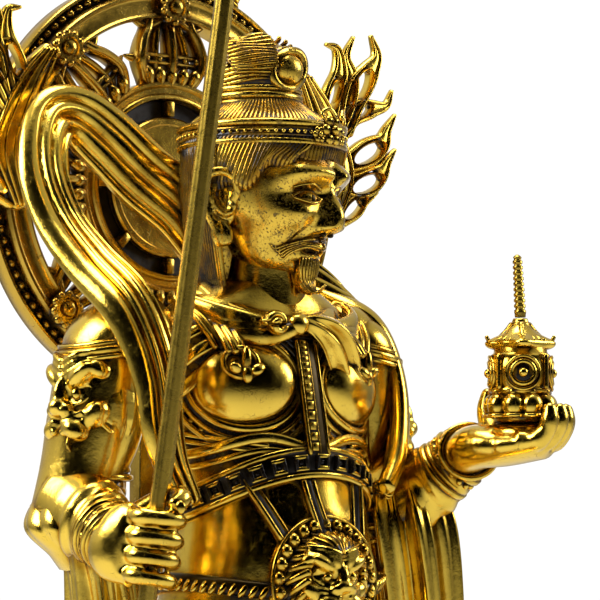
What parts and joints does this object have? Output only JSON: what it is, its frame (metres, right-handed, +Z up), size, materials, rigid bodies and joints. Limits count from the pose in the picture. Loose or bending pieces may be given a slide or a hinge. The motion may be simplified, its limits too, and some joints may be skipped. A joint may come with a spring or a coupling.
{
  "type": "wooden buddhist deity statue",
  "caption": "Gilded carved wood figure of an armoured heavenly king standing on a rock and plinth, with a staff, a small pagoda on the palm and a wheel halo with flames.",
  "frame": {"origin": "centre of the spine's foot on the plinth's underside", "axes": "+Z up, the figure faces -Y, its left hand is on the +X side"},
  "size_m": [0.168, 0.126, 0.4035],
  "materials": {
    "gilding": "burnished gold leaf over dark lacquer, worn in the recesses",
    "wheel_gilding": "gold leaf toned darker, over dark lacquer",
    "rod_gilding": "dull gold on a turned rod"
  },
  "bodies": {
    "root": {"plinth": "gilding", "rock_base": "gilding", "figure": "gilding", "celestial_scarf": "gilding", "staff_rod": "rod_gilding", "staff_trident": "gilding", "pagoda": "gilding", "pagoda_spire": "rod_gilding", "halo_wheel": "wheel_gilding", "halo_flame_left": "gilding", "halo_flame_right": "gilding", "halo_flame_top": "gilding", "halo_post": "wheel_gilding"}
  },
  "joints": []
}
